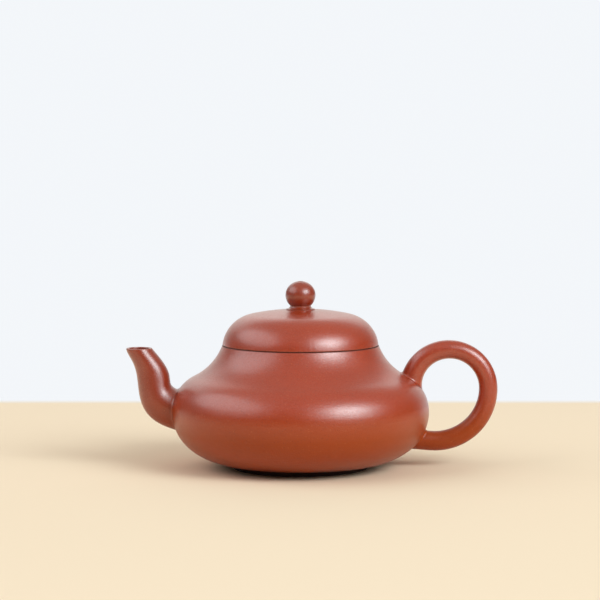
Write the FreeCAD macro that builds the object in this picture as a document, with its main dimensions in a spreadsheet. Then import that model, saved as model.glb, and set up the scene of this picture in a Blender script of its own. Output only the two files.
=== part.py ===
import FreeCAD, Part
import math
import os

import Sketcher

# Small unglazed red clay teapot: a squat round pot with a short curved spout, a ring handle and a
# flush domed lid with a ball knob. The pieces are the slabs and turned pieces that are luted together.
# Frame: +Z up, the table at z = 0, the pot's axis on Z, the spout towards -X, the handle towards +X.

# Driving sizes in millimetres, and leans in degrees.
SIZES = {
    # Pot
    "belly_dia": 90.0,  # widest diameter
    "belly_height": 19.8,  # height of the widest ring
    "base_dia": 48.4,  # seam between the base and the wall
    "foot_height": 1.8,  # the pot's underside above the table
    "foot_dia": 47.6,  # outside of the foot ring
    "foot_width": 6.0,  # flat ring that stands on the table
    "hollow_height": 2.2,  # pressed hollow of the base, at its middle
    "wall": 2.6,  # slab thickness of the pot
    "mouth_dia": 54.6,  # outside of the mouth and of the lid
    "mouth_height": 43.0,  # the flat mouth that the lid rests on
    "neck_lean": 21.0,  # inward lean of the neck at the mouth
    "ring_bore": 46.0,  # inside of the mouth ring
    "ring_depth": 5.0,  # height of the mouth ring
    "edge_round": 0.3,  # softened edges of the mouth, the lid, the foot and the spout
    "slip": 0.03,  # joint of liquid clay under the spout and the handle
    # Lid
    "lid_lean": 6.5,  # inward lean of the lid at its rim
    "lid_rise": 12.5,  # crown of the dome above the mouth
    "lid_wall": 2.6,  # slab thickness of the dome
    "lid_play": 0.3,  # gap between the collar and the mouth ring
    "plate_thickness": 2.2,  # flat ring under the dome
    "collar_wall": 2.2,  # ring that drops into the mouth
    "collar_depth": 7.0,  # reach of the collar below the mouth
    "collar_round": 0.7,  # rounded lower edges of the collar
    # Knob
    "stem_dia": 7.3,  # neck under the ball
    "stem_foot_dia": 10.1,  # spread of the stem on the crown
    "stem_edge": 0.3,  # upright edge of that spread
    "stem_neck": 0.4,  # upright part of the neck
    "stem_height": 1.35,  # top of the stem above the crown
    "knob_dia": 10.5,  # widest diameter of the ball
    "knob_middle": 3.6,  # widest ring above the stem
    "knob_height": 8.5,  # top of the ball above the stem
    "vent_dia": 1.8,  # air hole through the knob and the crown
    # Spout: outwards from the widest ring, and up or down from the belly's and the mouth's height
    "spout_sink": 5.0,  # root section inside the widest ring
    "spout_root_drop": 1.65,  # middle of the root below the belly's height
    "spout_elbow_out": 12.75,  # how the centre line is pulled outwards at the elbow
    "spout_elbow_rise": 5.4,
    "spout_bow_out": 1.05,  # how it is pulled back above the elbow
    "spout_bow_rise": 8.75,
    "spout_out": 11.5,  # middle of the pouring mouth
    "spout_drop": 1.15,  # pouring mouth below the pot's mouth
    "spout_root_dia": 14.3,
    "spout_mouth_dia": 9.1,
    "spout_wall": 2.3,  # thickness at the root
    "spout_lip": 1.0,  # thickness at the pouring mouth
    "spout_round": 1.3,  # smoothed clay round the root
    "outlet_dia": 9.4,  # hole in the belly wall behind the spout
    # Strainer
    "strainer_dia": 16.0,  # outside of the pierced dome
    "strainer_wall": 1.6,
    "strainer_hole_dia": 1.8,
    "strainer_inner_ring": 5.2,  # diameters of the two rings of holes
    "strainer_outer_ring": 9.8,
    # Handle
    "handle_out": 20.75,  # outermost point of its centre line beyond the widest ring
    "handle_rise": 7.7,  # that point above the belly's height
    "handle_top_radius": 13.9,  # centre line above that point
    "handle_low_radius": 18.5,  # centre line below that point
    "handle_thickness": 6.5,
    "handle_root_thickness": 8.6,  # where it leaves the shoulder
    "handle_sink": 12.0,  # lower end inside the widest ring, before it is trimmed to the belly
    "handle_end_lean": 4.5,  # rise of the straight lower end towards the belly
    "handle_round": 0.9,  # smoothed clay round the roots
}

# The spout's sections thin and turn along its length by these powers of the way that is left.
SPOUT_TAPER = 0.76
SPOUT_TURN = 1.66
SPOUT_SECTIONS = 6

# Sections of the handle as turns about its upper centre: the root at the shoulder, the top, the side.
HANDLE_ROOT_TURN = 200
HANDLE_TURNS = (90, 0)

# Rings of strainer holes: sketch, diameter of the ring, number of holes.
STRAINER_RINGS = (
    ("inner_hole", "Sizes.strainer_inner_ring", 6),
    ("outer_hole", "Sizes.strainer_outer_ring", 12),
)

BASE_R = "Sizes.base_dia / 2"
BELLY_R = "Sizes.belly_dia / 2"
MOUTH_R = "Sizes.mouth_dia / 2"
FLOOR = "Sizes.foot_height + Sizes.wall"
MOUTH = "Sizes.mouth_height"
LID_TOP = MOUTH + " + Sizes.lid_rise"
COLLAR_R = "Sizes.ring_bore / 2 - Sizes.lid_play"
COLLAR_BORE_R = COLLAR_R + " - Sizes.collar_wall"
STEM_R = "Sizes.stem_dia / 2"
STEM_TOP = LID_TOP + " + Sizes.stem_height"
OUTLET_HEIGHT = "Sizes.belly_height - Sizes.spout_root_drop"
POUR_HEIGHT = "Sizes.mouth_height - Sizes.spout_drop"

START, END, MIDDLE = range(1, 4)  # points of a sketched edge
ORIGIN, UPRIGHT = range(-1, -3, -1)  # a sketch's own origin and upright axis
ACROSS = ORIGIN  # its level axis has the origin's number
SIDE_NAMES = ("under", "lower", "upper", "neck")
CLOSE = 1e-4  # millimetres within which an edge counts as found

doc = FreeCAD.newDocument("Teapot")
sheet = doc.addObject("Spreadsheet::Sheet", "Sizes")
for row, (alias, value) in enumerate(SIZES.items(), start=1):
    sheet.set(f"A{row}", alias)
    sheet.set(f"B{row}", str(value))
    sheet.setAlias(f"B{row}", alias)
doc.recompute()


def worth(formula):
    return float(sheet.evalExpression(formula))


def point(x, y):
    return FreeCAD.Vector(worth(x), worth(y), 0)


def heading(degrees):
    return FreeCAD.Vector(math.cos(math.radians(degrees)), math.sin(math.radians(degrees)), 0)


def new_body(name):
    body = doc.addObject("PartDesign::Body", name)
    body.Label = name
    return body


def new_sketch(body, name, role, moves=None, turn=FreeCAD.Rotation()):
    # A sketch on one of the body's planes, turned, and moved along the named axes by formulas.
    moves = moves or {}
    spot = FreeCAD.Vector(*[worth(moves.get(axis, "0")) for axis in "xyz"])
    sketch = body.newObject("Sketcher::SketchObject", name)
    sketch.AttachmentSupport = [(part, "") for part in body.Origin.OriginFeatures if part.Role == role]
    sketch.MapMode = "FlatFace"
    sketch.AttachmentOffset = FreeCAD.Placement(spot, turn)
    for axis, formula in moves.items():
        sketch.setExpression(f"AttachmentOffset.Base.{axis}", formula)
    return sketch


class Edge:
    # One sketched line or arc: its curve, its ends as drawn, and the numbers that rules call them by.
    def __init__(self, index, curve, ends, left=True):
        self.index = index
        self.curve = curve
        self.ends = ends
        self.left = left
        self.first = (index, START if left else END)
        self.last = (index, END if left else START)
        self.middle = (index, MIDDLE)


class Outline:
    # A sketched outline, by default in the plane across the spout. Its rules are set together at the end.
    def __init__(self, body, name, role="YZ_Plane", moves=None):
        self.sketch = new_sketch(body, name, role, moves)
        self.rules = []
        self.formulas = {}

    def rule(self, kind, *where):
        self.rules.append(Sketcher.Constraint(kind, *where))

    def measure(self, kind, *where, formula):
        self.formulas[len(self.rules)] = formula
        self.rule(kind, *where, worth(formula))

    def angle(self, edge, formula):
        self.formulas[len(self.rules)] = f"({formula}) * 1 deg"
        self.rule("Angle", edge.index, math.radians(worth(formula)))

    def place(self, where, x=None, y=None):
        if x == "0":
            self.rule("PointOnObject", *where, UPRIGHT)
        elif x:
            self.measure("DistanceX", ORIGIN, START, *where, formula=x)
        if y:
            self.measure("DistanceY", ORIGIN, START, *where, formula=y)

    def join(self, one, other):
        self.rule("Coincident", *one, *other)

    def smooth(self, one, other):
        self.rule("Tangent", *one, *other)

    def level(self, *lines):
        for line in lines:
            self.rule("Horizontal", line.index)

    def upright(self, *lines):
        for line in lines:
            self.rule("Vertical", line.index)

    def line(self, start, end, guide=False):
        curve = Part.LineSegment(start, end)
        return Edge(self.sketch.addGeometry(curve, guide), curve, (start, end))

    def arc(self, centre, start, end, left, guide=False):
        # A sketched arc runs anticlockwise, so one that turns right is laid from its far end.
        circle = Part.Circle(centre, FreeCAD.Vector(0, 0, 1), start.distanceToPoint(centre))
        span = (start, end) if left else (end, start)
        curve = Part.ArcOfCircle(circle, *[circle.parameter(spot) for spot in span])
        return Edge(self.sketch.addGeometry(curve, guide), curve, (start, end), left)

    def arc_from(self, start, ahead, end, guide=False):
        # The arc that leaves its start in the direction ahead.
        side = FreeCAD.Vector(-ahead.y, ahead.x, 0).normalize()
        chord = end - start
        radius = chord.dot(chord) / (2 * side.dot(chord))
        return self.arc(start + side * radius, start, end, radius > 0, guide)

    def bend(self, start, way_in, end, way_out, guides=(False, False)):
        # Two tangent arcs between two points and headings, with equally long end tangents.
        ahead = heading(way_in)
        arriving = heading(way_out)
        chord = end - start
        along = chord.dot(ahead + arriving)
        turn = 2 - 2 * ahead.dot(arriving)
        reach = (math.sqrt(along ** 2 + turn * chord.dot(chord)) - along) / turn
        corners = (start + ahead * reach, end - arriving * reach)
        joint = (corners[0] + corners[1]) * 0.5
        first = self.arc_from(start, ahead, joint, guides[0])
        second = self.arc_from(joint, corners[1] - corners[0], end, guides[1])
        leaving = self.line(start, corners[0], True)
        reaching = self.line(corners[0], joint, True)
        passing = self.line(joint, corners[1], True)
        closing = self.line(corners[1], end, True)
        self.smooth(first.last, second.first)
        self.smooth(first.first, leaving.first)
        self.join(leaving.last, reaching.first)
        self.smooth(first.last, reaching.last)
        self.smooth(second.first, passing.first)
        self.join(passing.last, closing.first)
        self.smooth(second.last, closing.last)
        self.rule("Equal", leaving.index, closing.index)
        return first, second, leaving, closing

    def beside(self, edge, thickness, start_height=None, end_height=None):
        # The wall's inner arc beside an outer one, with its ends across the wall or at given heights.
        centre = edge.curve.Center
        inset = worth(thickness)
        radius = edge.curve.Radius - inset if edge.left else edge.curve.Radius + inset
        ends = []
        for spot, height in zip(edge.ends, (start_height, end_height)):
            out = (spot - centre).normalize()
            if height:
                rise = worth(height) - centre.y
                out = FreeCAD.Vector(math.copysign(math.sqrt(radius ** 2 - rise ** 2), out.x), rise, 0)
                out.normalize()
            ends.append(centre + out * radius)
        inner = self.arc(centre, *ends, edge.left)
        self.join(inner.middle, edge.middle)
        return inner

    def gauge(self, edge, inner, thickness):
        # A guide across the wall, which gives an inner arc its distance from the outer one.
        out = edge.ends[1] - edge.curve.Center
        foot = edge.curve.Center + out * (inner.curve.Radius / edge.curve.Radius)
        across = self.line(edge.ends[1], foot, True)
        self.join(across.first, edge.last)
        self.measure("Distance", across.index, formula=thickness)
        self.rule("PointOnObject", *edge.middle, across.index)
        self.rule("PointOnObject", *across.last, inner.index)

    def chain(self, points, start=None, end=None):
        # Straight lines through the points, joined to each other and to the given points of edges.
        lines = [self.line(one, two) for one, two in zip(points, points[1:])]
        for one, two in zip(lines, lines[1:]):
            self.join(one.last, two.first)
        if start:
            self.join(start, lines[0].first)
        if end:
            self.join(lines[-1].last, end)
        return lines

    def done(self):
        self.sketch.addConstraint(self.rules)
        for number, formula in self.formulas.items():
            self.sketch.setExpression(f"Constraints[{number}]", formula)
        return self.sketch


def revolve(body, sketch, kind="PartDesign::Revolution", axis="V_Axis"):
    turned = body.newObject(kind, sketch.Name + "_turned")
    turned.Profile = sketch
    turned.ReferenceAxis = (sketch, [axis])
    turned.Angle = 360
    doc.recompute()
    return turned


def circle_sketch(body, name, role, dia, moves=None, turn=FreeCAD.Rotation(), up=None):
    # One circle about a sketch's origin, or at a distance above it.
    sketch = new_sketch(body, name, role, moves, turn)
    centre = point("0", up or "0")
    index = sketch.addGeometry(Part.Circle(centre, FreeCAD.Vector(0, 0, 1), worth(dia) / 2))
    if up:
        sketch.addConstraint(Sketcher.Constraint("PointOnObject", index, MIDDLE, UPRIGHT))
        height = Sketcher.Constraint("DistanceY", ORIGIN, START, index, MIDDLE, centre.y)
        sketch.setExpression(f"Constraints[{sketch.addConstraint(height)}]", up)
    else:
        sketch.addConstraint(Sketcher.Constraint("Coincident", index, MIDDLE, ORIGIN, START))
    width = Sketcher.Constraint("Diameter", index, worth(dia))
    sketch.setExpression(f"Constraints[{sketch.addConstraint(width)}]", dia)
    return sketch


def cut_through(body, sketch, backwards=False):
    before = body.Shape.Volume
    hole = body.newObject("PartDesign::Pocket", sketch.Name + "_cut")
    hole.Profile = sketch
    hole.Type = "ThroughAll"
    hole.Reversed = backwards
    doc.recompute()
    if not body.Shape.Volume < before:
        raise RuntimeError(f"{hole.Label} cuts nothing")
    return hole


def round_edges(shape, radius, height=None):
    # Names of the round edges about the pot's axis with this radius, at this height if it is given.
    names = []
    for number, edge in enumerate(shape.Edges, start=1):
        if edge.Degenerated or not isinstance(edge.Curve, Part.Circle):
            continue
        centre = edge.Curve.Center
        off = abs(edge.Curve.Radius - radius) + math.hypot(centre.x, centre.y)
        if height is not None:
            off += abs(centre.z - height)
        if off < CLOSE:
            names.append((centre.z, f"Edge{number}"))
    return [name for _, name in sorted(names)]


def soften(body, names, formula="Sizes.edge_round"):
    base = body.Tip
    fillet = body.newObject("PartDesign::Fillet", body.Name + "_round")
    fillet.Base = (base, names)
    fillet.Radius = worth(formula)
    fillet.setExpression("Radius", formula)
    doc.recompute()
    return fillet


def pot_side(outline, shown):
    # The pot's outer side: under and lower arcs up to the widest ring, upper and neck arcs to the mouth.
    guides = [name not in shown for name in SIDE_NAMES]
    base = point(BASE_R, "Sizes.foot_height")
    widest = point(BELLY_R, "Sizes.belly_height")
    lean = "90 + Sizes.neck_lean"
    under, lower, leaving, closing = outline.bend(base, 0, widest, 90, guides[:2])
    outline.level(leaving)
    outline.upright(closing)
    outline.place(under.first, BASE_R, "Sizes.foot_height")
    outline.place(lower.last, BELLY_R, "Sizes.belly_height")
    upper, neck, leaving, closing = outline.bend(widest, 90, point(MOUTH_R, MOUTH), worth(lean), guides[2:])
    outline.upright(leaving)
    outline.angle(closing, lean)
    outline.join(lower.last, upper.first)
    outline.place(neck.last, MOUTH_R, MOUTH)
    return under, lower, upper, neck


def lid_side(outline, guides=(False, False)):
    # The lid's outer side: a cheek arc from the rim and a flat crown arc to the axis.
    lean = "90 + Sizes.lid_lean"
    crown = point("0", LID_TOP)
    cheek, top, leaving, closing = outline.bend(point(MOUTH_R, MOUTH), worth(lean), crown, 180, guides)
    outline.angle(leaving, lean)
    outline.level(closing)
    outline.place(cheek.first, MOUTH_R, MOUTH)
    outline.place(top.last, "0", LID_TOP)
    return cheek, top


def pot_form(body, name, inset=None):
    # The pot's outside closed to a solid form, or the form that lies inside it by the given distance.
    outline = Outline(body, name)
    side = pot_side(outline, () if inset else SIDE_NAMES)
    if inset:
        outer = side
        side = [outline.beside(edge, inset) for edge in outer[:3]]
        side.append(outline.beside(outer[3], inset, None, MOUTH))
        for one, other in zip(side, side[1:]):
            outline.smooth(one.last, other.first)
        seam = outline.line(outer[0].ends[0], side[0].ends[0], True)
        outline.join(outer[0].first, seam.first)
        outline.join(seam.last, side[0].first)
        outline.upright(seam)
        outline.measure("Distance", seam.index, formula=f"abs({inset})")
    low, high = side[0].ends[0], side[3].ends[1]
    points = [low, FreeCAD.Vector(0, low.y, 0), FreeCAD.Vector(0, high.y, 0), high]
    bottom, axis, top = outline.chain(points, side[0].first, side[3].last)
    outline.level(bottom, top)
    outline.place(axis.first, "0")
    outline.place(axis.last, "0", MOUTH if inset else None)
    return outline.done()


def wall_ring(outline, back, bore, bottom, top):
    # The flat faces and the bore of a ring that lies against an inner arc of the wall.
    points = [back.ends[1], point(bore, top), point(bore, bottom), back.ends[0]]
    lid, inside, seat = outline.chain(points, back.last, back.first)
    outline.level(lid, seat)
    outline.upright(inside)
    outline.place(inside.first, bore, top)
    outline.place(inside.last, None, bottom)
    return outline.done()


def make_base_disc():
    body = new_body("base_disc")
    outline = Outline(body, "base_profile")
    foot_r = "Sizes.foot_dia / 2"
    ring_r = foot_r + " - Sizes.foot_width"
    points = [
        point(ring_r, "0"),
        point(foot_r, "0"),
        point(foot_r, "Sizes.foot_height"),
        point(BASE_R, "Sizes.foot_height"),
        point(BASE_R, FLOOR),
        point("0", FLOOR),
        point("0", "Sizes.hollow_height"),
    ]
    stand, foot_side, ledge, rim, floor, axis = outline.chain(points)
    outline.level(stand, ledge, floor)
    outline.upright(foot_side, rim)
    outline.rule("PointOnObject", *stand.first, ACROSS)
    outline.place(stand.first, ring_r)
    outline.place(stand.last, foot_r)
    outline.place(ledge.last, BASE_R, "Sizes.foot_height")
    outline.place(floor.first, None, FLOOR)
    outline.place(axis.first, "0")
    outline.place(axis.last, "0", "Sizes.hollow_height")
    hollow = outline.arc_from(points[-1], heading(0), points[0])
    outline.join(hollow.first, axis.last)
    outline.join(hollow.last, stand.first)
    outline.rule("PointOnObject", *hollow.middle, UPRIGHT)
    revolve(body, outline.done())
    soften(body, round_edges(body.Shape, worth(foot_r), 0))
    return body


def make_belly_wall():
    body = new_body("belly_wall")
    outline = Outline(body, "belly_profile")
    outer = pot_side(outline, SIDE_NAMES[:3])[:3]
    inner = [outline.beside(edge, "Sizes.wall") for edge in outer]
    for one, other in zip(inner, inner[1:]):
        outline.smooth(one.last, other.first)
    low_seam = outline.chain([outer[0].ends[0], inner[0].ends[0]], outer[0].first, inner[0].first)[0]
    outline.upright(low_seam)
    outline.measure("Distance", low_seam.index, formula="Sizes.wall")
    high_seam = outline.chain([outer[2].ends[1], inner[2].ends[1]], outer[2].last, inner[2].last)[0]
    outline.rule("PointOnObject", *outer[2].middle, high_seam.index)
    revolve(body, outline.done())
    cut_through(body, circle_sketch(body, "outlet", "YZ_Plane", "Sizes.outlet_dia", {"y": OUTLET_HEIGHT}))
    return body


def make_shoulder():
    body = new_body("shoulder")
    outline = Outline(body, "shoulder_profile")
    neck = pot_side(outline, SIDE_NAMES[3:])[3]
    inner = outline.beside(neck, "Sizes.wall", None, MOUTH)
    seam = outline.chain([neck.ends[0], inner.ends[0]], neck.first, inner.first)[0]
    outline.measure("Distance", seam.index, formula="Sizes.wall")
    outline.rule("PointOnObject", *neck.middle, seam.index)
    rim = outline.chain([neck.ends[1], inner.ends[1]], neck.last, inner.last)[0]
    outline.level(rim)
    revolve(body, outline.done())
    soften(body, round_edges(body.Shape, worth(MOUTH_R), worth(MOUTH)))
    return body


def make_mouth_ring():
    body = new_body("mouth_ring")
    outline = Outline(body, "mouth_ring_profile")
    bore = "Sizes.ring_bore / 2"
    bottom = MOUTH + " - Sizes.ring_depth"
    neck = pot_side(outline, ())[3]
    back = outline.beside(neck, "Sizes.wall", bottom, MOUTH)
    outline.gauge(neck, back, "Sizes.wall")
    revolve(body, wall_ring(outline, back, bore, bottom, MOUTH))
    soften(body, round_edges(body.Shape, worth(bore)))
    return body


def make_lid_dome():
    body = new_body("lid_dome")
    outline = Outline(body, "dome_profile")
    cheek, top = lid_side(outline)
    inner_cheek = outline.beside(cheek, "Sizes.lid_wall", MOUTH)
    inner_top = outline.beside(top, "Sizes.lid_wall")
    outline.smooth(inner_cheek.last, inner_top.first)
    rim = outline.chain([cheek.ends[0], inner_cheek.ends[0]], cheek.first, inner_cheek.first)[0]
    outline.level(rim)
    crown = outline.chain([top.ends[1], inner_top.ends[1]], top.last, inner_top.last)[0]
    outline.upright(crown)
    outline.measure("Distance", crown.index, formula="Sizes.lid_wall")
    revolve(body, outline.done())
    soften(body, round_edges(body.Shape, worth(MOUTH_R), worth(MOUTH)))
    cut_through(body, circle_sketch(body, "dome_vent", "XY_Plane", "Sizes.vent_dia"), True)
    return body


def make_lid_plate():
    body = new_body("lid_plate")
    outline = Outline(body, "plate_profile")
    top = MOUTH + " + Sizes.plate_thickness"
    cheek = lid_side(outline, (True, True))[0]
    back = outline.beside(cheek, "Sizes.lid_wall", MOUTH, top)
    outline.gauge(cheek, back, "Sizes.lid_wall")
    revolve(body, wall_ring(outline, back, COLLAR_BORE_R, MOUTH, top))
    return body


def make_lid_collar():
    body = new_body("lid_collar")
    outline = Outline(body, "collar_profile")
    bottom = MOUTH + " - Sizes.collar_depth"
    corners = [
        point(COLLAR_BORE_R, bottom),
        point(COLLAR_R, bottom),
        point(COLLAR_R, MOUTH),
        point(COLLAR_BORE_R, MOUTH),
    ]
    edge, outside, seat, inside = outline.chain([*corners, corners[0]])
    outline.join(inside.last, edge.first)
    outline.level(edge, seat)
    outline.upright(outside, inside)
    outline.place(edge.first, COLLAR_BORE_R, bottom)
    outline.place(seat.first, COLLAR_R, MOUTH)
    revolve(body, outline.done())
    low_edges = []
    for radius in (COLLAR_R, COLLAR_BORE_R):
        low_edges += round_edges(body.Shape, worth(radius), worth(bottom))
    soften(body, low_edges, "Sizes.collar_round")
    return body


def make_knob_stem():
    body = new_body("knob_stem")
    outline = Outline(body, "stem_profile")
    foot_r = "Sizes.stem_foot_dia / 2"
    neck_low = STEM_TOP + " - Sizes.stem_neck"
    top = lid_side(outline, (True, True))[1]
    centre = top.curve.Center
    foot_height = centre.y + math.sqrt(top.curve.Radius ** 2 - worth(foot_r) ** 2)
    foot = FreeCAD.Vector(worth(foot_r), foot_height, 0)
    edge_top = foot + FreeCAD.Vector(0, worth("Sizes.stem_edge"), 0)
    seat = outline.arc(centre, top.ends[1], foot, False)
    outline.join(seat.middle, top.middle)
    outline.join(seat.first, top.last)
    outline.place(seat.last, foot_r)
    edge = outline.chain([foot, edge_top], seat.last)[0]
    outline.upright(edge)
    outline.measure("Distance", edge.index, formula="Sizes.stem_edge")
    cove = outline.arc_from(edge_top, heading(180), point(STEM_R, neck_low))
    outline.join(cove.first, edge.last)
    outline.rule("Vertical", *cove.middle, *cove.first)
    points = [cove.ends[1], point(STEM_R, STEM_TOP), point("0", STEM_TOP), top.ends[1]]
    neck, crown, axis = outline.chain(points, cove.last, seat.first)
    outline.upright(neck, axis)
    outline.level(crown)
    outline.place(neck.first, STEM_R, neck_low)
    outline.place(neck.last, None, STEM_TOP)
    revolve(body, outline.done())
    cut_through(body, circle_sketch(body, "stem_vent", "XY_Plane", "Sizes.vent_dia"), True)
    return body


def make_knob_ball():
    body = new_body("knob_ball")
    outline = Outline(body, "ball_profile")
    middle = STEM_TOP + " + Sizes.knob_middle"
    top = STEM_TOP + " + Sizes.knob_height"
    widest = point("Sizes.knob_dia / 2", middle)
    below = outline.arc_from(widest, heading(-90), point(STEM_R, STEM_TOP))
    outline.rule("Horizontal", *below.middle, *below.first)
    outline.place(below.last, STEM_R, STEM_TOP)
    side, crown, leaving, closing = outline.bend(widest, 90, point("0", top), 180)
    outline.upright(leaving)
    outline.level(closing)
    outline.join(below.first, side.first)
    outline.place(side.first, "Sizes.knob_dia / 2", middle)
    outline.place(crown.last, "0", top)
    axis, seat = outline.chain([crown.ends[1], point("0", STEM_TOP), below.ends[1]], crown.last, below.last)
    outline.upright(axis)
    outline.level(seat)
    revolve(body, outline.done())
    cut_through(body, circle_sketch(body, "ball_vent", "XY_Plane", "Sizes.vent_dia"), True)
    soften(body, round_edges(body.Shape, worth("Sizes.vent_dia") / 2)[-1:])
    return body


def section(body, name, x, z, tilt, dia):
    # A round section in the plane of the spout and the handle, tilted about Y from looking up.
    turn = FreeCAD.Rotation(FreeCAD.Vector(0, 1, 0), tilt)
    return circle_sketch(body, name, "XY_Plane", dia, {"x": x, "z": z}, turn)


def loft(body, kind, sections):
    shape = body.newObject(kind, sections[0].Name + "_loft")
    shape.Profile = sections[0]
    shape.Sections = sections[1:]
    doc.recompute()
    return shape


def root_edges(shape):
    # Names of the edges where a limb, which is free-form, meets the turned form of the pot.
    names = []
    for number, edge in enumerate(shape.Edges, start=1):
        kinds = {type(face.Surface) for face in shape.ancestorsOfType(edge, Part.Face)}
        if Part.BSplineSurface in kinds and Part.Toroid in kinds:
            names.append(f"Edge{number}")
    return names


def lip_edges(shape, height):
    # Names of the edges that lie level at this height.
    names = []
    for number, edge in enumerate(shape.Edges, start=1):
        if all(abs(spot.Z - height) < CLOSE for spot in edge.Vertexes):
            names.append(f"Edge{number}")
    return names


def spout_sections(body, name, bore):
    # Sections along a curve with four control points: root, elbow, bow and pouring mouth.
    xs = (
        f"-({BELLY_R} - Sizes.spout_sink)",
        f"-({BELLY_R} + Sizes.spout_elbow_out)",
        f"-({BELLY_R} + Sizes.spout_bow_out)",
        f"-({BELLY_R} + Sizes.spout_out)",
    )
    zs = (
        OUTLET_HEIGHT,
        "Sizes.belly_height + Sizes.spout_elbow_rise",
        "Sizes.belly_height + Sizes.spout_bow_rise",
        POUR_HEIGHT,
    )
    sections = []
    for number in range(SPOUT_SECTIONS):
        way = number / (SPOUT_SECTIONS - 1)
        left = 1 - way
        weights = (left ** 3, 3 * left ** 2 * way, 3 * left * way ** 2, way ** 3)
        x = " + ".join(f"{weight:.6f} * ({value})" for weight, value in zip(weights, xs))
        z = " + ".join(f"{weight:.6f} * ({value})" for weight, value in zip(weights, zs))
        taper = left ** SPOUT_TAPER
        dia = f"Sizes.spout_mouth_dia + {taper:.6f} * (Sizes.spout_root_dia - Sizes.spout_mouth_dia)"
        if bore:
            dia += f" - 2 * (Sizes.spout_lip + {left:.6f} * (Sizes.spout_wall - Sizes.spout_lip))"
        sections.append(section(body, f"{name}_{number}", x, z, -90 * left ** SPOUT_TURN, dia))
    return sections


def make_spout():
    body = new_body("spout")
    revolve(body, pot_form(body, "spout_ground"))
    loft(body, "PartDesign::AdditiveLoft", spout_sections(body, "spout_section", False))
    soften(body, root_edges(body.Shape), "Sizes.spout_round")
    revolve(body, pot_form(body, "spout_trim", "-Sizes.slip"), "PartDesign::Groove")
    loft(body, "PartDesign::SubtractiveLoft", spout_sections(body, "bore_section", True))
    soften(body, lip_edges(body.Shape, worth(POUR_HEIGHT)))
    return body


def make_handle():
    body = new_body("handle")
    revolve(body, pot_form(body, "handle_ground"))
    out = f"({BELLY_R} + Sizes.handle_out)"
    middle = "(Sizes.belly_height + Sizes.handle_rise)"
    top_x = f"({out} - Sizes.handle_top_radius)"
    low_x = f"({out} - Sizes.handle_low_radius)"
    lean = "(Sizes.handle_end_lean * 1 deg)"
    bottom_x = f"({low_x} - Sizes.handle_low_radius * sin{lean})"
    bottom_z = f"({middle} - Sizes.handle_low_radius * cos{lean})"
    end_x = f"({BELLY_R} - Sizes.handle_sink)"
    end_z = f"{bottom_z} + ({bottom_x} - {end_x}) * tan{lean}"

    outline = Outline(body, "handle_path", "XZ_Plane")
    root = point(top_x, middle) + heading(HANDLE_ROOT_TURN) * worth("Sizes.handle_top_radius")
    over = outline.arc(point(top_x, middle), root, point(out, middle), False)
    down = outline.arc(point(low_x, middle), point(out, middle), point(bottom_x, bottom_z), False)
    back = outline.line(point(bottom_x, bottom_z), point(end_x, end_z))
    outline.place(over.last, out, middle)
    outline.rule("Horizontal", *over.middle, *over.last)
    outline.measure("Radius", over.index, formula="Sizes.handle_top_radius")
    outline.rule("Angle", over.index, math.radians(HANDLE_ROOT_TURN))
    outline.smooth(over.last, down.first)
    outline.measure("Radius", down.index, formula="Sizes.handle_low_radius")
    outline.smooth(down.last, back.first)
    outline.angle(back, "180 - Sizes.handle_end_lean")
    outline.place(back.last, end_x)

    flare = "(Sizes.handle_root_thickness - Sizes.handle_thickness)"
    sections = []
    for turn in (HANDLE_ROOT_TURN, *HANDLE_TURNS):
        thickness = "Sizes.handle_thickness"
        radius = "Sizes.handle_top_radius"
        if turn == HANDLE_ROOT_TURN:
            thickness = "Sizes.handle_root_thickness"
            radius = f"(Sizes.handle_top_radius - {flare} / 2)"
        way = heading(turn)
        x = f"{top_x} + {radius} * {way.x:.6f}"
        z = f"{middle} + {radius} * {way.y:.6f}"
        sections.append(section(body, f"handle_section_{turn}", x, z, 180 - turn, thickness))
    end_turn = 270 + worth("Sizes.handle_end_lean")
    sections.append(section(body, "handle_end", end_x, end_z, end_turn, "Sizes.handle_thickness"))

    pipe = body.newObject("PartDesign::AdditivePipe", "handle_pipe")
    pipe.Profile = sections[0]
    pipe.Spine = (outline.done(), [])
    pipe.Transformation = "Multisection"
    pipe.Sections = [(sketch, [""]) for sketch in sections[1:]]
    doc.recompute()
    soften(body, root_edges(body.Shape), "Sizes.handle_round")
    revolve(body, pot_form(body, "handle_trim", "-Sizes.slip"), "PartDesign::Groove")
    return body


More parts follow.
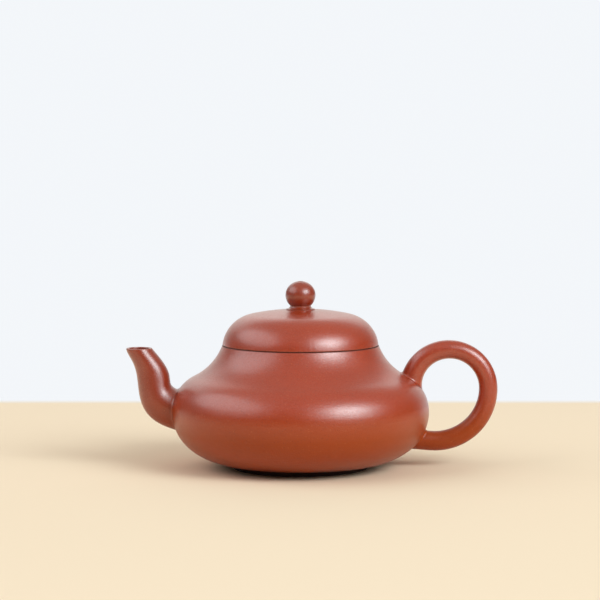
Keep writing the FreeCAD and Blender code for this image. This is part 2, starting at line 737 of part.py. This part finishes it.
def make_strainer():
    # A pierced dome over the outlet, with its edge shaped to the inside of the wall.
    body = new_body("strainer")
    outer = "Sizes.strainer_dia / 2"
    inner = outer + " - Sizes.strainer_wall"
    moves = {"x": f"-({BELLY_R} - Sizes.wall)", "y": OUTLET_HEIGHT}
    outline = Outline(body, "strainer_profile", "XZ_Plane", moves)
    dome = outline.arc(FreeCAD.Vector(), point(outer, "0"), point("0", outer), True)
    hollow = outline.arc(FreeCAD.Vector(), point("0", inner), point(inner, "0"), False)
    skirt = [dome.ends[1], point("-Sizes.wall", outer), point("-Sizes.wall", inner), hollow.ends[0]]
    top, edge, under = outline.chain(skirt, dome.last, hollow.first)
    outline.chain([hollow.ends[1], dome.ends[0]], hollow.last, dome.first)
    for arc, radius in ((dome, outer), (hollow, inner)):
        outline.join(arc.middle, (ORIGIN, START))
        outline.measure("Radius", arc.index, formula=radius)
    outline.rule("PointOnObject", *dome.first, ACROSS)
    outline.rule("PointOnObject", *hollow.last, ACROSS)
    outline.rule("PointOnObject", *dome.last, UPRIGHT)
    outline.rule("PointOnObject", *hollow.first, UPRIGHT)
    outline.level(top, under)
    outline.upright(edge)
    outline.measure("DistanceX", *edge.first, *dome.last, formula="Sizes.wall")
    revolve(body, outline.done(), axis="H_Axis")

    facing = {"y": OUTLET_HEIGHT}
    cut_through(body, circle_sketch(body, "middle_hole", "YZ_Plane", "Sizes.strainer_hole_dia", facing))
    for name, ring, count in STRAINER_RINGS:
        sketch = circle_sketch(body, name, "YZ_Plane", "Sizes.strainer_hole_dia", facing, up=ring + " / 2")
        hole = cut_through(body, sketch)
        pattern = body.newObject("PartDesign::PolarPattern", name + "_all")
        pattern.Originals = [hole]
        pattern.Axis = (sketch, ["N_Axis"])
        pattern.Angle = 360
        pattern.Occurrences = count
        body.Tip = pattern
        doc.recompute()

    inside = new_body("pot_inside")
    revolve(inside, pot_form(inside, "inside_profile", "Sizes.wall"))
    trim = body.newObject("PartDesign::Boolean", "strainer_trim")
    trim.Type = "Common"
    trim.setObjects([inside])
    doc.recompute()
    return body


nodes = [
    make_base_disc(),
    make_belly_wall(),
    make_shoulder(),
    make_mouth_ring(),
    make_lid_dome(),
    make_lid_plate(),
    make_lid_collar(),
    make_knob_stem(),
    make_knob_ball(),
    make_spout(),
    make_handle(),
    make_strainer(),
]
doc.recompute()

for item in doc.Objects:
    if "Invalid" in item.State or "Error" in item.State:
        raise RuntimeError(f"{item.Label} failed: {item.State}")
for node in nodes:
    if node.Shape.isNull() or not node.Shape.isValid() or len(node.Shape.Solids) != 1:
        raise RuntimeError(f"{node.Label} is not one valid solid")

os.makedirs("parts", exist_ok=True)
for node in nodes:
    node.Shape.exportStep(f"parts/{node.Label}.step")
    print(f"{node.Label}: {len(node.Shape.Solids)} solid, {node.Shape.Volume:.1f} mm3")
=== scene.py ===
import bmesh
import bpy
from math import cos, radians, sin
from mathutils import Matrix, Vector

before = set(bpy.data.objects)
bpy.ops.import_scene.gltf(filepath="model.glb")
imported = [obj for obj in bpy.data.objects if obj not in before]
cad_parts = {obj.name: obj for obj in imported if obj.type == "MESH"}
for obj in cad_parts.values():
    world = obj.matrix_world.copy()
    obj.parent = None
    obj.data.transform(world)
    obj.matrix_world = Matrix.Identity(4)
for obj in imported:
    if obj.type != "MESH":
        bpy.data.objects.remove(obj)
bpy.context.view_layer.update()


class Wire:
    # one output socket, so that sums on it add Math nodes
    def __init__(self, finish, socket):
        self.finish = finish
        self.socket = socket

    def output(self, name):
        return Wire(self.finish, self.socket.node.outputs[name])

    def __add__(self, other):
        return self.finish.math("ADD", self, other)

    def __radd__(self, other):
        return self.finish.math("ADD", other, self)

    def __sub__(self, other):
        return self.finish.math("SUBTRACT", self, other)

    def __rsub__(self, other):
        return self.finish.math("SUBTRACT", other, self)

    def __mul__(self, other):
        return self.finish.math("MULTIPLY", self, other)

    def __rmul__(self, other):
        return self.finish.math("MULTIPLY", other, self)


class Finish:
    # a node tree that is being filled
    def __init__(self, tree):
        self.tree = tree
        tree.nodes.clear()

    def node(self, kind, settings=None, sockets=None, output=0):
        made = self.tree.nodes.new(kind)
        for name, value in (settings or {}).items():
            setattr(made, name, value)
        for name, value in (sockets or {}).items():
            if isinstance(value, Wire):
                self.tree.links.new(value.socket, made.inputs[name])
            else:
                made.inputs[name].default_value = value
        return Wire(self, made.outputs[output]) if made.outputs else None

    def math(self, operation, one, two=0.0):
        return self.node("ShaderNodeMath", {"operation": operation}, {0: one, 1: two})

    def length(self, place):
        settings = {"operation": "LENGTH"}
        return self.node("ShaderNodeVectorMath", settings, {0: place}, output="Value")

    def mixColour(self, factor, one, two):
        # the colours of a Mix node are its inputs 6 and 7 and its output 2
        settings = {"data_type": "RGBA"}
        return self.node("ShaderNodeMix", settings, {0: factor, 6: one, 7: two}, output=2)

    def noise(self, place, scale, detail, roughness=0.5):
        sockets = {"Vector": place, "Scale": scale, "Detail": detail, "Roughness": roughness}
        return self.node("ShaderNodeTexNoise", None, sockets)

    def span(self, value, low, high):
        # 0 at low, 1 at high, and held beyond them
        return self.node("ShaderNodeMapRange", None, {0: value, 1: low, 2: high})


def newMaterial(name):
    material = bpy.data.materials.new(name)
    material.use_nodes = True
    return material


clay = {
    "deep": (0.32, 0.027, 0.001, 1),  # colour in the darker clouds
    "bright": (0.43, 0.040, 0.002, 1),  # and in the lighter ones
    "cloudScale": 55,
    "cloudDetail": 3,
    "cloudShare": 0.6,  # the strokes change the colour by the rest
    "cloudRough": 0.10,  # how far clouds and strokes change the roughness
    "strokeScale": (45, 45, 300),  # burnishing strokes run level around the pot
    "strokeDetail": 2,
    "strokeRough": 0.05,
    "strokeDepth": 0.00001,
    "grainScale": 2100,
    "grainDetail": 2,
    "grainFine": 0.6,  # how much the finer grain counts
    "grainDepth": 0.00014,
    "shadedKept": 0.76,  # how much of its colour the darker copy keeps: painted shade on the spout and knob
    "shadedLow": (0.325, 0.051, 0.002, 1),  # painted shade and warm floor bounce: the low belly darker and more orange, and bare pieces all over
    "shadedLowShare": 0.7,  # how far unpolished clay is painted with that shade and bounce
    "polishFrom": 0.014,  # the clay is polished above the low belly
    "polishTo": 0.026,
    "sand": (0.50, 0.13, 0.04, 1),  # pale specks
    "iron": (0.15, 0.020, 0.006, 1),  # dark specks
    "ironShare": 0.55,  # part of the specks that is dark
    "speckScale": 1000,
    "speckShare": 0.45,  # how strongly a speck shows
    "speckFrom": 0.24,  # it fades in between these distances from its middle
    "speckTo": 0.12,
    "shadeColour": (0.03, 0.008, 0.005, 1),  # painted shade for the seam under the lid and for the foot, where shade falls
    "footShadeFrom": 0.0034,  # painted shade: the foot is darkened below this height, standing in for the contact shadow
    "footShadeTo": 0.0014,
    "seamHeight": 0.043,
    "seamWidth": 0.0004,
    "rimFrom": 0.0264,  # distance from the axis where the seam's painted shade begins
    "rimTo": 0.0269,
    "roughness": 0.31,
    "bareRoughness": 0.65,  # inner pieces and the lid's seat are not burnished
    "specular": 0.4,
    "coatRoughness": 0.30,
    "coatIor": 1.72,
    "coatLeast": 0.72,  # how much of the polish stays in the pits of the grain
    "pitFrom": 0.38,
    "pitTo": 0.60,
}


def darken(colour, kept):
    return [kept * part for part in colour[:3]] + [1]


def makeClay(name, rim=False, bare=False, kept=1.0):
    material = newMaterial(name)
    finish = Finish(material.node_tree)
    place = finish.node("ShaderNodeTexCoord", output="Object")
    height = finish.node("ShaderNodeSeparateXYZ", None, {0: place}, output="Z")
    cloud = finish.noise(place, clay["cloudScale"], clay["cloudDetail"])
    along = finish.node("ShaderNodeMapping", None, {"Vector": place, "Scale": clay["strokeScale"]})
    stroke = finish.noise(along, 1, clay["strokeDetail"])
    grain = finish.noise(place, clay["grainScale"], clay["grainDetail"], clay["grainFine"])
    polish = 0 if bare else finish.span(height, clay["polishFrom"], clay["polishTo"])

    tint = clay["cloudShare"] * cloud + (1 - clay["cloudShare"]) * stroke
    colour = finish.mixColour(tint, darken(clay["deep"], kept), darken(clay["bright"], kept))
    # painted shade and warm floor bounce on the low belly and on the bare pieces
    colour = finish.mixColour(clay["shadedLowShare"] * (1 - polish), colour, clay["shadedLow"])

    cells = {"Vector": place, "Scale": clay["speckScale"]}
    speck = finish.node("ShaderNodeTexVoronoi", None, cells)
    kind = finish.node("ShaderNodeSeparateXYZ", None, {0: speck.output("Color")})
    pale = finish.math("GREATER_THAN", kind, clay["ironShare"])
    tone = finish.mixColour(pale, clay["iron"], clay["sand"])
    shown = clay["speckShare"] * finish.span(speck, clay["speckFrom"], clay["speckTo"])
    colour = finish.mixColour(shown, colour, tone)

    # painted shade near the floor: the lowest few millimetres darken as the contact shadow under
    # the belly
    footShade = finish.span(height, clay["footShadeFrom"], clay["footShadeTo"])
    colour = finish.mixColour(footShade, colour, clay["shadeColour"])

    # noise lies around 0.5, so these leave the middle roughness as it is
    rough = clay["bareRoughness"] if bare else clay["roughness"]
    rough = rough + clay["cloudRough"] * (cloud - 0.5) + clay["strokeRough"] * (stroke - 0.5)
    shine = 0
    if not bare:
        pits = finish.span(grain, clay["pitFrom"], clay["pitTo"])
        shine = polish * (clay["coatLeast"] + (1 - clay["coatLeast"]) * pits)

    # the flat seat of the lid is matte, and its outer edge is painted dark as shade in the seam
    if rim:
        gap = finish.math("ABSOLUTE", height - clay["seamHeight"])
        seat = finish.span(gap, clay["seamWidth"], 0)
        settings = {"operation": "MULTIPLY"}
        level = finish.node("ShaderNodeVectorMath", settings, {0: place, 1: (1, 1, 0)})
        edge = finish.span(finish.length(level), clay["rimFrom"], clay["rimTo"])
        # painted shade along the outer edge of the lid's seam
        colour = finish.mixColour(seat * edge, colour, clay["shadeColour"])
        rough = rough + (clay["bareRoughness"] - clay["roughness"]) * seat
        shine = shine * (1 - seat)

    relief = clay["grainDepth"] * grain + clay["strokeDepth"] * stroke
    bump = finish.node("ShaderNodeBump", None, {"Strength": 1, "Distance": 1, "Height": relief})
    shader = finish.node("ShaderNodeBsdfPrincipled", None, {
        "Base Color": colour,
        "Roughness": rough,
        "Specular IOR Level": clay["specular"],
        "Coat Weight": shine,
        "Coat Roughness": clay["coatRoughness"],
        "Coat IOR": clay["coatIor"],
        "Normal": bump,
    })
    finish.node("ShaderNodeOutputMaterial", None, {"Surface": shader})
    return material


redClay = makeClay("redClay")
rimClay = makeClay("rimClay", rim=True)
bareClay = makeClay("bareClay", bare=True)
# a darker copy of the clay, painted shade on the spout and knob
shadedClay = makeClay("shadedClay", kept=clay["shadedKept"])
pieces = {
    "base_disc": bareClay,
    "belly_wall": redClay,
    "shoulder": rimClay,
    "mouth_ring": bareClay,
    "spout": shadedClay,
    "strainer": bareClay,
    "handle": redClay,
    "lid_dome": rimClay,
    "lid_plate": bareClay,
    "lid_collar": bareClay,
    "knob_stem": shadedClay,
    "knob_ball": shadedClay,
}
for name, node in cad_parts.items():
    node.material_slots[0].material = pieces[name]
print("clay on", len(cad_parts), "nodes")


floorLook = {
    "size": 6.0,
    "near": (0.94, 0.77, 0.57, 1),  # the floor around the pot, in the light of the lamps
    "nearShown": (0.86, 0.72, 0.53, 1),  # the floor well away from the pot
    "far": (0.90, 0.925, 0.955, 1),  # the backdrop
    "edge": 0.186,  # where the backdrop begins behind the pot
    "fade": 0.012,
    "plainFrom": 0.4,  # distance from the pot where the lamps stop showing on the floor
    "plainTo": 1.0,
    "glow": 1.0,
}


def makeFloor():
    bm = bmesh.new()
    bmesh.ops.create_grid(bm, x_segments=1, y_segments=1, size=floorLook["size"] / 2)
    mesh = bpy.data.meshes.new("floor")
    bm.to_mesh(mesh)
    bm.free()
    floor = bpy.data.objects.new("floor", mesh)
    bpy.context.collection.objects.link(floor)

    material = newMaterial("paleFloor")
    finish = Finish(material.node_tree)
    place = finish.node("ShaderNodeTexCoord", output="Object")
    across = finish.node("ShaderNodeSeparateXYZ", None, {0: place}, output="Y")
    half = floorLook["fade"] / 2
    far = finish.span(across, floorLook["edge"] - half, floorLook["edge"] + half)
    plain = finish.span(finish.length(place), floorLook["plainFrom"], floorLook["plainTo"])
    seen = finish.node("ShaderNodeLightPath", output="Is Camera Ray")
    lit = finish.node("ShaderNodeBsdfPrincipled", None, {
        "Base Color": finish.mixColour(far, floorLook["near"], floorLook["far"]),
        "Roughness": 1,
        "Specular IOR Level": 0,
    })
    glow = finish.node("ShaderNodeEmission", None, {
        "Color": finish.mixColour(far, floorLook["nearShown"], floorLook["far"]),
        "Strength": floorLook["glow"],
    })
    both = finish.node("ShaderNodeMixShader", None, {
        0: seen * finish.math("MAXIMUM", far, plain),
        1: lit,
        2: glow,
    })
    finish.node("ShaderNodeOutputMaterial", None, {"Surface": both})
    mesh.materials.append(material)


makeFloor()
print("floor laid")


sky = {
    "light": (1.0, 0.96, 0.91, 1),
    "front": 0.06,  # strength of the room in front of the pot
    "back": 0.9,  # strength of the backdrop behind it
    "backFrom": 0.65,  # how straight back a ray points where the backdrop begins
    "backTo": 1.0,
    "top": 0.42,  # added overhead
    "topFrom": 0.1,  # how straight up a ray points where that begins
    "topTo": 0.9,
    "shown": (0.90, 0.925, 0.955, 1),  # what the camera sees instead
}


def makeSky():
    world = bpy.data.worlds.new("studio")
    bpy.context.scene.world = world
    world.use_nodes = True
    finish = Finish(world.node_tree)
    seen = finish.node("ShaderNodeLightPath", output="Is Camera Ray")
    way = finish.node("ShaderNodeTexCoord", output="Generated")
    ahead = finish.node("ShaderNodeSeparateXYZ", None, {0: way}, output="Y")
    behind = finish.span(ahead, sky["backFrom"], sky["backTo"])
    above = finish.span(ahead.output("Z"), sky["topFrom"], sky["topTo"])
    strength = sky["front"] + (sky["back"] - sky["front"]) * behind + sky["top"] * above
    light = finish.node("ShaderNodeBackground", None, {"Color": sky["light"], "Strength": strength})
    shown = finish.node("ShaderNodeBackground", None, {"Color": sky["shown"], "Strength": 1})
    both = finish.node("ShaderNodeMixShader", None, {0: seen, 1: light, 2: shown})
    finish.node("ShaderNodeOutputWorld", None, {"Surface": both})


makeSky()
print("sky lit")


# turn is in degrees to the right of the camera's side, rise above the floor
lamps = {
    "key": {
        "turn": 48.5, "rise": 31.5, "away": 3.6,
        "size": (2.0, 1.4), "watts": 57, "colour": (0.87, 0.97, 1),
    },
    "keyRim": {  # a soft rim around the key
        "turn": 48.5, "rise": 31.5, "away": 3.7,
        "size": (4.0, 2.6), "watts": 59, "colour": (0.87, 0.97, 1),
    },
    "left": {
        "turn": -82, "rise": 38, "away": 3.0,
        "size": (4.5, 2.1), "watts": 40, "colour": (0.94, 0.97, 1),
    },
    "back": {
        "turn": -174, "rise": 34, "away": 3.0,
        "size": (4.2, 1.5), "watts": 7, "colour": (1, 1, 1),
    },
}
lampAim = Vector((0, 0, 0.04))


def addLamp(name, turn, rise, away, size, watts, colour):
    light = bpy.data.lights.new(name, "AREA")
    light.shape = "ELLIPSE"
    light.size, light.size_y = size
    light.energy = watts
    light.color = colour
    lamp = bpy.data.objects.new(name, light)
    side = sin(radians(turn))
    front = -cos(radians(turn))
    flat = cos(radians(rise))
    way = Vector((side * flat, front * flat, sin(radians(rise))))
    lamp.location = lampAim + away * way
    lamp.rotation_euler = (-way).to_track_quat("-Z", "Y").to_euler()
    bpy.context.collection.objects.link(lamp)


for name, values in lamps.items():
    addLamp(name, **values)
print("lamps hung")


view = {
    "place": (-0.00017, -0.800, 0.1214),
    "aim": (-0.00017, 0.0, 0.0587),
    "lens": 137.9,
    "sensor": 36,
}


def addCamera():
    data = bpy.data.cameras.new("camera")
    data.lens = view["lens"]
    data.sensor_width = view["sensor"]
    camera = bpy.data.objects.new("camera", data)
    camera.location = view["place"]
    way = Vector(view["aim"]) - camera.location
    camera.rotation_euler = way.to_track_quat("-Z", "Y").to_euler()
    bpy.context.collection.objects.link(camera)
    bpy.context.scene.camera = camera


addCamera()
bpy.context.scene.view_settings.view_transform = "Standard"
print("camera placed")
